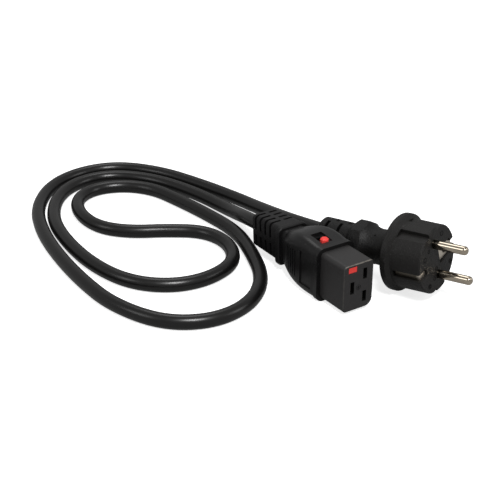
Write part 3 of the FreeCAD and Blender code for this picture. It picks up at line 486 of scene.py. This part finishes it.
EFFECTS = {"Moulded Surface": moulded_surface, "Plated Metal": plated_metal, "Painted Edge Highlight": painted_edge_highlight,
           "Painted Recess Shade": painted_recess_shade, "Shaded Length": shaded_length}


def effect_node(tree, name, values):
    """Places a shared effect in a material with its own values; the group is made on first use."""
    node = tree.nodes.new("ShaderNodeGroup")
    node.node_tree = bpy.data.node_groups.get(name) or EFFECTS[name](name)
    for label, value in values.items():
        node.inputs[label].default_value = value
    return node.outputs


# ---------------------------------------------------------------- materials
def surface_material(name, effect, values, bump, depth):
    """A material whose Principled BSDF takes colour, roughness and bump from one shared effect."""
    material = bpy.data.materials.new(name)
    material.use_nodes = True
    tree = material.node_tree
    shader = tree.nodes["Principled BSDF"]
    surface = effect_node(tree, effect, values)
    relief = tree.nodes.new("ShaderNodeBump")
    relief.inputs["Strength"].default_value = bump
    relief.inputs["Distance"].default_value = depth
    feed(tree, surface["Height"], relief.inputs["Height"])
    feed(tree, relief.outputs["Normal"], shader.inputs["Normal"])
    feed(tree, surface["Color"], shader.inputs["Base Color"])
    feed(tree, surface["Roughness"], shader.inputs["Roughness"])
    return material, shader


def moulded(name, color, rough, drift=0.25, specks=0.3, bump=0.25, gloss=0.35, depth=0.00006,
            grain=FINE_GRAIN):
    """A moulded plastic or PVC finish."""
    values = {"Color": (*color, 1.0), "Rough": rough, "Drift": drift, "Specks": specks, "Grain": grain}
    material, shader = surface_material(name, "Moulded Surface", values, bump, depth)
    shader.inputs["Specular IOR Level"].default_value = gloss
    return material


def plated(name, color, rough, turn=(0.0, 0.0, 0.0), bump=0.04, depth=0.00003):
    """A plated metal finish; turn brings its streaks from along Y to the piece's own length."""
    values = {"Color": (*color, 1.0), "Rough": rough, "Turn": turn}
    material, shader = surface_material(name, "Plated Metal", values, bump, depth)
    shader.inputs["Metallic"].default_value = 1.0
    return material


def overlay(material, effect, values, color):
    """Lays a colour over a material's own where a shared effect's mask says."""
    tree = material.node_tree
    target = tree.nodes["Principled BSDF"].inputs["Base Color"]
    under = target.links[0].from_socket
    mask = effect_node(tree, effect, values)["Mask"]
    feed(tree, mixed_color(tree, mask, under, (*color, 1.0)), target)


def dress(material, *nodes):
    """Gives CAD nodes a finish."""
    for node in nodes:
        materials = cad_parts[node].data.materials
        materials.clear()
        materials.append(material)


def background_sight(tree, mirrored):
    """How much a ray shows the white background: 1 straight or through a clear thing, mirrored in metal."""
    path = tree.nodes.new("ShaderNodeLightPath").outputs
    straight = math_node(tree, "MAXIMUM", path["Is Camera Ray"], path["Is Transmission Ray"])
    in_metal = math_node(tree, "MULTIPLY", path["Is Glossy Ray"], mirrored)
    return math_node(tree, "MAXIMUM", straight, in_metal)


# ---------------------------------------------------------------- parts of the stage
def lay_floor(settings):
    """A square floor that shows white and lights the lead with its own grey."""
    ends = np.array((-FLOOR_REACH, FLOOR_REACH))
    x, y = np.meshgrid(ends, ends, indexing="ij")
    floor = grid_object("floor", np.stack((x, y, np.zeros_like(x)), -1))
    material = bpy.data.materials.new("pale floor")
    material.use_nodes = True
    tree = material.node_tree
    shader = tree.nodes["Principled BSDF"]
    seen = background_sight(tree, settings.mirrored)
    color = mixed_color(tree, seen, (*settings.floor_color, 1.0), (*FLOOR_WHITE, 1.0))
    feed(tree, color, shader.inputs["Base Color"])
    shader.inputs["Roughness"].default_value = 0.9
    shader.inputs["Specular IOR Level"].default_value = 0.1
    shader.inputs["Emission Color"].default_value = (1.0, 1.0, 1.0, 1.0)
    feed(tree, math_node(tree, "MULTIPLY", seen, FLOOR_GLOW), shader.inputs["Emission Strength"])
    floor.data.materials.append(material)


def light_sky(scene, settings):
    """A world that shows white and lights the lead softly from all round."""
    world = bpy.data.worlds.new("studio")
    scene.world = world
    world.use_nodes = True
    tree = world.node_tree
    sky = tree.nodes["Background"]
    sky.inputs["Color"].default_value = (1.0, 1.0, 1.0, 1.0)
    seen = background_sight(tree, settings.mirrored)
    glow = ramp(tree, seen, low=0.0, high=1.0, start=settings.sky_strength * settings.light, end=1.0,
                kind="LINEAR")
    feed(tree, glow, sky.inputs["Strength"])


def hang_lamp(collection, name, place, size, power):
    """A square soft lamp, turned to the lead."""
    lamp = bpy.data.lights.new(name, "AREA")
    lamp.shape = "SQUARE"
    lamp.size = size
    lamp.energy = power
    stand = bpy.data.objects.new(name, lamp)
    stand.location = place
    stand.rotation_euler = (LIT_POINT - Vector(place)).to_track_quat("-Z", "Y").to_euler()
    collection.objects.link(stand)


def stand_camera(context, settings):
    """The camera at its place and sight."""
    eye = bpy.data.cameras.new("camera")
    eye.lens = settings.lens
    eye.sensor_width = 36.0
    camera = bpy.data.objects.new("camera", eye)
    camera.location = settings.camera_place
    camera.rotation_euler = Vector(settings.camera_sight).to_track_quat("-Z", "Y").to_euler()
    context.collection.objects.link(camera)
    context.scene.camera = camera


# ---------------------------------------------------------------- finishes
def finish_connector(colors):
    """The block with painted shade in its slots and painted highlights along its edges, the hood, the
    sleeve and the red release.
    """
    block = moulded("socket block", colors.block, rough=0.5, drift=0.2, specks=0.2, gloss=0.4)
    half = (BLOCK[1] - BLOCK[0]) / 2 - np.array((BLOCK_WALL, 0.0, BLOCK_WALL))
    slots = {"Centre": BLOCK.mean(axis=0), "Half Size": half, "Depth": SLOT_SHADE_DEPTH}
    left_edge_highlight = {"Front": FACE_Y, "Way": -ACROSS, "Reach": -BLOCK[0, 0], "Width": 0.0005}
    top_edge_highlight = {"Front": FACE_Y, "Way": UP, "Reach": BLOCK[1, 2], "Width": 0.00055}
    # painted shade inside the block's slots
    overlay(block, "Painted Recess Shade", slots, SLOT_PAINTED_SHADE)
    # painted highlights along the block's left and top front edges
    overlay(block, "Painted Edge Highlight", left_edge_highlight, SIDE_EDGE_PAINTED_HIGHLIGHT)
    overlay(block, "Painted Edge Highlight", top_edge_highlight, TOP_EDGE_PAINTED_HIGHLIGHT)
    dress(block, "socket_block")
    hood = moulded("hood", colors.hood, rough=0.34, drift=0.3, specks=0.25, bump=0.12, gloss=0.4)
    dress(hood, "hood")
    relief = moulded("strain relief", colors.relief, rough=0.45, drift=0.4, specks=0.3, gloss=0.3)
    dress(relief, "strain_relief")
    release = moulded("red release", colors.release, rough=0.4, drift=0.12, specks=0.0, bump=0.08)
    dress(release, "release_slider")


def behind_face(start, end):
    """Where a colour comes in behind the plug's face, for the Shaded Length effect."""
    return {"Face": PLUG_FACE, "Forward": PLUG_TURN @ FORWARD, "Start": start, "End": end}


def finish_plug(colors):
    """The grained overmould with painted shade behind its flange, and the plated pins with a painted
    reflection at their roots and the strap with painted shade along its groove.
    """
    plug = moulded("plug overmould", colors.plug, rough=0.5, drift=0.35, specks=0.35, bump=0.8, gloss=0.3,
                   depth=0.0003, grain=COARSE_GRAIN)
    # painted shade on the overmould behind its flange
    overlay(plug, "Shaded Length", behind_face(start=0.022, end=0.034), NECK_PAINTED_SHADE)
    dress(plug, "plug_body")
    pins = plated("pin nickel", colors.pins, rough=0.09, turn=tuple(PLUG_TURN.inverted().to_euler()))
    # painted reflection of the black face on the pins near their roots
    overlay(pins, "Shaded Length", behind_face(start=-0.0035, end=-0.0008), PIN_ROOT_PAINTED_REFLECTION)
    dress(pins, "plug_pin_line", "plug_pin_neutral")
    strap = plated("strap nickel", colors.strap, rough=0.36)
    # painted shade on the strap along its groove, fading in behind the face
    overlay(strap, "Shaded Length", behind_face(start=0.001, end=0.0034), STRAP_PAINTED_SHADE)
    dress(strap, "earth_strap", "earth_socket")


def finish_inside():
    """What the mouldings hide: contacts, lock plate, carriers and cores."""
    dress(plated("contact brass", BRASS, rough=0.34), "contact_line", "contact_neutral", "contact_earth")
    dress(plated("lock steel", STEEL, rough=0.4), "lock_plate")
    dress(moulded("inner moulding", INNER_GREY, rough=0.6), "contact_retainer", "pin_bridge")
    for pole, color in CORE_COLORS.items():
        skin = moulded(pole + " insulation", color, rough=0.4, specks=0.0)
        dress(skin, "core_" + pole, "plug_core_" + pole)


# ---------------------------------------------------------------- operators
class LEAD_OT_stage(bpy.types.Operator):
    """Lay the floor, hang the soft lamps and stand the camera"""

    bl_idname = "lead.stage"
    bl_label = "Stage"

    def execute(self, context):
        """Floor, world, lamps and camera."""
        settings = context.scene.lead_stage
        lay_floor(settings)
        light_sky(context.scene, settings)
        for name, place, size, power in LAMPS:
            hang_lamp(context.collection, name, place, size, power * settings.light)
        stand_camera(context, settings)
        context.scene.view_settings.view_transform = "Standard"
        return {"FINISHED"}


class LEAD_OT_marks(bpy.types.Operator):
    """Raise the earth mark on the socket's face and the moulder's rings on the plug's face"""

    bl_idname = "lead.marks"
    bl_label = "Face marks"

    def execute(self, context):
        """An earth sign between the slots, and a few plain rings round the pins."""
        settings = context.scene.lead_marks
        line, height = settings.line, settings.height
        stem_rise, stem_half = SIGN_STEM
        strokes = [(0.0, SIGN_RING, SIGN_RING), (stem_rise, line, stem_half)]
        strokes += [(rise, half, line) for rise, half in SIGN_BARS]
        sign = loops_object("earth_mark", [
            raised_loop((0.0, FACE_Y, AXIS_Z - SIGN_DROP + rise), ACROSS, UP, wide, tall,
                        line * SIGN_LINE, height)
            for rise, wide, tall in strokes])
        rings = loops_object("plug_marks", [
            raised_loop(PLUG_PLACE @ Vector((x, 0.0, z)), PLUG_TURN @ ACROSS, PLUG_TURN @ UP,
                        radius, radius, line, height)
            for x, z, radius in PLUG_RINGS])
        for piece, slot, gloss in ((sign, "block_plastic", 0.3), (rings, "soft_pvc", 0.05)):
            # the marks' dark colour is painted shade of their raised lines
            skin = moulded(piece.name + " skin", settings.color, rough=0.5, specks=0.0, bump=0.02,
                           gloss=gloss)
            piece.data.materials.append(skin)
            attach(piece, BODY)
        return {"FINISHED"}


class LEAD_OT_spring(bpy.types.Operator):
    """Wind the return spring behind the release"""

    bl_idname = "lead.spring"
    bl_label = "Return spring"

    def execute(self, context):
        """A coil in the place of the frame's own."""
        settings = context.scene.lead_spring
        low, high = np.array(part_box("return_spring"))
        x, _, z = (low + high) / 2
        half = settings.wire / 2
        radius = (high[0] - low[0]) / 2 - half
        coiled = coil((x, low[1] + half, z), (x, high[1] - half, z), radius, settings.wire, settings.turns)
        spring = close_poles(grid_object("spring_coil", coiled, wrap_cols=True))
        spring.data.materials.append(plated("spring steel", STEEL, rough=0.35))
        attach(spring, BODY)
        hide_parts("return_spring")
        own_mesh(spring)
        return {"FINISHED"}


class LEAD_OT_cord(bpy.types.Operator):
    """Lay the cord from the strain relief round its loops to the plug"""

    bl_idname = "lead.cord"
    bl_label = "Cord"

    def execute(self, context):
        """One open spline with the route's points as its control points."""
        settings = context.scene.lead_cord
        points = [SLEEVE_PLACE @ Vector((0.0, CORD_START, 0.0)),
                  SLEEVE_PLACE @ Vector((0.0, CORD_START + CORD_STRAIGHT, 0.0))]
        points += [Vector((x, FACE_Y + s, CORD_LIE)) for x, s in CORD_ROUTE]
        x, s, z = CORD_RISE
        points.append(Vector((x, FACE_Y + s, z)))
        points.append(PLUG_PLACE @ Vector(CORD_TAIL))
        points.append(PLUG_PLACE @ Vector((0.0, CORD_END, 0.0)))
        curve = bpy.data.curves.new("cord", "CURVE")
        curve.dimensions = "3D"
        spline = curve.splines.new("NURBS")
        spline.points.add(len(points) - 1)
        spline.points.foreach_set("co", np.array([(*p, 1.0) for p in points]).ravel())
        spline.order_u = 3
        spline.use_endpoint_u = True
        spline.resolution_u = CORD_STEPS
        curve.resolution_u = CORD_STEPS
        curve.bevel_depth = settings.diameter / 2
        curve.bevel_resolution = settings.sides
        curve.use_fill_caps = True
        cord = bpy.data.objects.new("cord", curve)
        context.collection.objects.link(cord)
        sheath = moulded("cord sheath", settings.color, rough=0.29, drift=0.4, specks=0.0, bump=0.01,
                         gloss=0.5)
        curve.materials.append(sheath)
        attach(cord, BODY)
        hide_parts("cord_sheath")
        return {"FINISHED"}


class LEAD_OT_finishes(bpy.types.Operator):
    """Give the mouldings and the metal their finishes"""

    bl_idname = "lead.finishes"
    bl_label = "Finishes"

    def execute(self, context):
        """One material for each moulding and each kind of metal."""
        colors = context.scene.lead_finish
        finish_connector(colors)
        finish_plug(colors)
        finish_inside()
        return {"FINISHED"}


# the scene's groups of settings, each with the operator that reads it
SETTINGS = {
    "lead_stage": (LEAD_StageSettings, "lead.stage"),
    "lead_marks": (LEAD_MarkSettings, "lead.marks"),
    "lead_spring": (LEAD_SpringSettings, "lead.spring"),
    "lead_cord": (LEAD_CordSettings, "lead.cord"),
    "lead_finish": (LEAD_FinishSettings, "lead.finishes"),
}


class LEAD_PT_panel(bpy.types.Panel):
    """Lists the pieces of the lead"""

    bl_idname = "LEAD_PT_panel"
    bl_label = "Mains Lead"
    bl_space_type = "VIEW_3D"
    bl_region_type = "UI"
    bl_category = "Mains Lead"

    def draw(self, context):
        """Each group of settings above its button."""
        for name, (kind, operator) in SETTINGS.items():
            box = self.layout.box()
            for label in kind.__annotations__:
                box.prop(getattr(context.scene, name), label)
            box.operator(operator)


CLASSES = (*(kind for kind, _ in SETTINGS.values()), LEAD_OT_stage, LEAD_OT_marks, LEAD_OT_spring,
           LEAD_OT_cord, LEAD_OT_finishes, LEAD_PT_panel)


def register():
    """Adds the classes and their settings."""
    for item in CLASSES:
        bpy.utils.register_class(item)
    for name, (kind, _) in SETTINGS.items():
        setattr(bpy.types.Scene, name, PointerProperty(type=kind))


def unregister():
    """Takes them away again."""
    for name in SETTINGS:
        delattr(bpy.types.Scene, name)
    for item in reversed(CLASSES):
        bpy.utils.unregister_class(item)


def main():
    """Builds every piece in order."""
    register()
    bpy.ops.lead.stage()
    bpy.ops.lead.marks()
    bpy.ops.lead.spring()
    bpy.ops.lead.cord()
    bpy.ops.lead.finishes()


if __name__ == "__main__":
    main()
